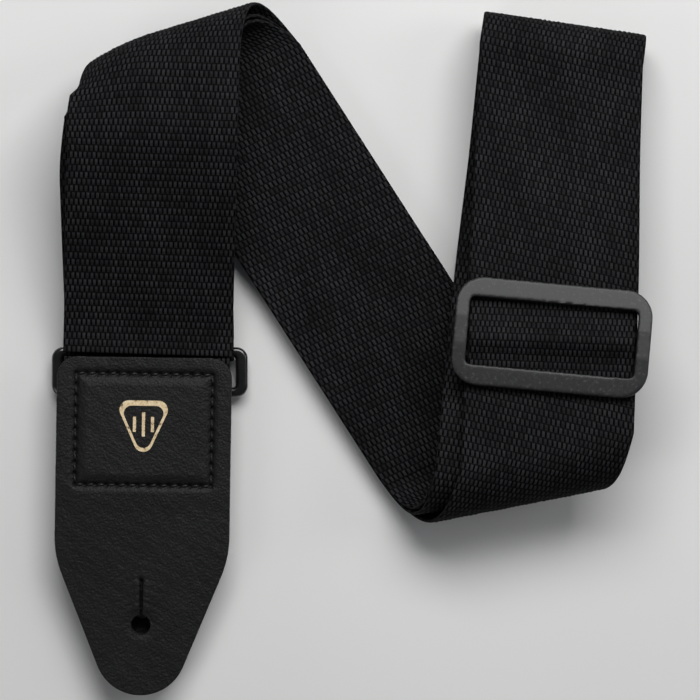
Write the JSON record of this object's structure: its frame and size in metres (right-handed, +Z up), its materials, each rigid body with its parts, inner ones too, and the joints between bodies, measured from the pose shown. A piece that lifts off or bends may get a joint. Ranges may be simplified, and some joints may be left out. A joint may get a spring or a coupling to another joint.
{
  "type": "guitar strap",
  "caption": "Adjustable webbing guitar strap laid in a Z, with leather button ends, a slider and a ring.",
  "frame": {"origin": "middle of the strap's bounding box in plan, on the surface that it lies on", "axes": "+Z up from the surface, +Y from the front leather end towards the upper folds, +X across the Z to the slider"},
  "size_m": [0.1734, 0.201, 0.0313],
  "materials": {
    "webbing": "ribbed polypropylene weave",
    "leather": "fine pebbled grain",
    "lining": "plain split leather",
    "thread": "waxed thread",
    "foil": "gold foil",
    "slider_plastic": "satin moulding",
    "ring_plastic": "gloss moulding"
  },
  "bodies": {
    "webbing": {"webbing_front_run": "webbing", "webbing_cross_run_outer": "webbing", "webbing_slider_run": "webbing", "webbing_upper_left_fold_outer": "webbing", "webbing_lower_fold_outer": "webbing", "webbing_upper_right_fold_outer": "webbing", "webbing_cross_run_middle": "webbing", "webbing_upper_left_fold_middle": "webbing", "webbing_lower_fold_middle": "webbing", "webbing_return_run_middle": "webbing", "webbing_ring_run_middle": "webbing", "webbing_cross_run_inner": "webbing", "webbing_upper_left_fold_inner": "webbing", "webbing_lower_fold_inner": "webbing", "webbing_return_run_inner": "webbing", "webbing_ring_run_inner": "webbing", "webbing_upper_right_fold_inner": "webbing", "webbing_slider_ply": "webbing"},
    "slider_body": {"slider": "slider_plastic", "webbing_sewn_end": "webbing", "sewn_end_stitching": "thread", "webbing_over_bar": "webbing"},
    "ring_body": {"ring": "ring_plastic", "webbing_ring_loop": "webbing"},
    "rear_end": {"rear_leather_end": "leather", "rear_box_stitching": "thread"},
    "front_end": {"front_leather_face": "leather", "front_leather_lining": "lining", "front_box_stitching": "thread", "foil_mark": "foil", "webbing_front_tab": "webbing"}
  },
  "joints": [
    {"name": "slider_travel", "type": "slide", "parent": "webbing", "child": "slider_body", "axis": [0.0382, 0.9944, -0.0982], "range_m": [-0.0015, 0.05], "deforming": ["webbing_slider_ply"]},
    {"name": "ring_travel", "type": "slide", "parent": "webbing", "child": "ring_body", "axis": [0, 1, 0], "range_m": [-0.025, 0.00075], "deforming": ["webbing_ring_run_middle", "webbing_ring_run_inner"]},
    {"name": "rear_end_swing", "type": "hinge", "parent": "ring_body", "child": "rear_end", "pos_m": [-0.05821, -0.01262, 0.0036], "axis": [-1, 0, 0], "range_deg": [-60, 0]},
    {"name": "front_end_lift", "type": "hinge", "parent": "webbing", "child": "front_end", "pos_m": [-0.05941, -0.00207, 0.01005], "axis": [-1, 0, 0], "range_deg": [0, 70]}
  ],
  "couplings": [
    {"joint": "ring_travel", "follows": "slider_travel", "ratio": -0.5}
  ]
}
